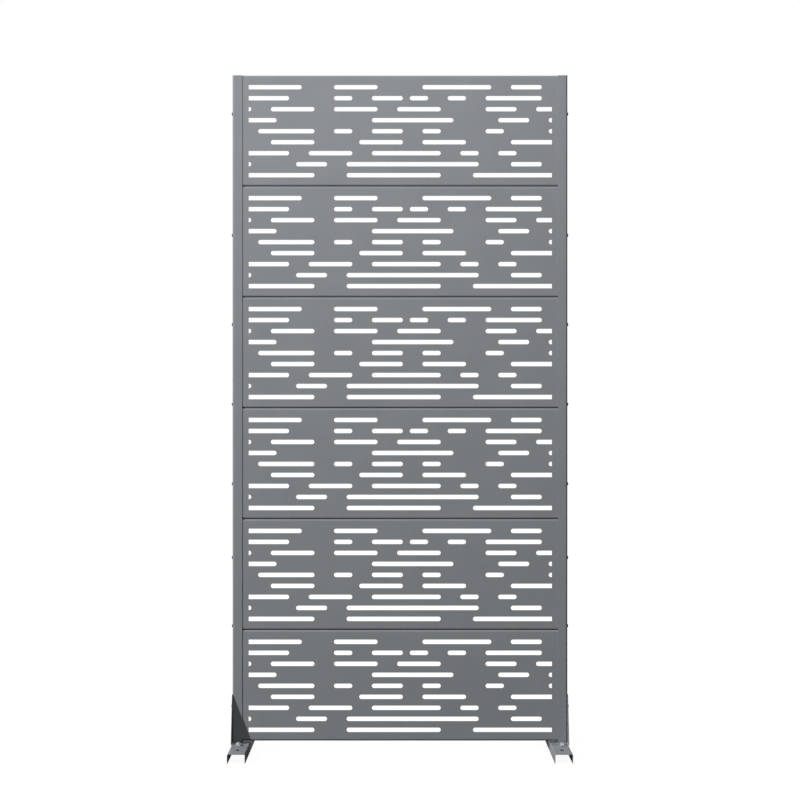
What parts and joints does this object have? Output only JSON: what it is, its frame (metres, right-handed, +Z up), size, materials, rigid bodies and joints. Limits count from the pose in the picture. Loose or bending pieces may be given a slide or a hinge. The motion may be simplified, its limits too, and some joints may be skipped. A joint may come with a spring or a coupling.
{
  "type": "metal fence panel",
  "caption": "Free-standing screen of slotted, folded steel tray panels stacked between channel posts on channel feet with gusset brackets.",
  "frame": {"origin": "on the ground, half way between the two feet and half way between their front and back ends", "axes": "+X to the right seen from the front, +Y to the back, +Z up; the panel faces look along -Y"},
  "size_m": [0.9144, 0.33, 1.83],
  "materials": {
    "powder_coat": "satin grey powder coat on sheet steel",
    "black_screw": "black oxide steel",
    "bright_zinc": "bright zinc plate"
  },
  "bodies": {
    "root": {"panel_1": "powder_coat", "panel_2": "powder_coat", "panel_3": "powder_coat", "panel_4": "powder_coat", "panel_5": "powder_coat", "panel_6": "powder_coat", "post_left": "powder_coat", "post_right": "powder_coat", "foot_left": "powder_coat", "foot_right": "powder_coat", "bracket_left": "powder_coat", "bracket_right": "powder_coat", "post_screws_left": "black_screw", "post_screws_right": "black_screw", "foot_bolts_left": "bright_zinc", "foot_bolts_right": "bright_zinc", "foot_washers_left": "bright_zinc", "foot_washers_right": "bright_zinc", "foot_nuts_left": "bright_zinc", "foot_nuts_right": "bright_zinc", "seam_bolts": "bright_zinc", "seam_nuts": "bright_zinc"}
  },
  "joints": []
}
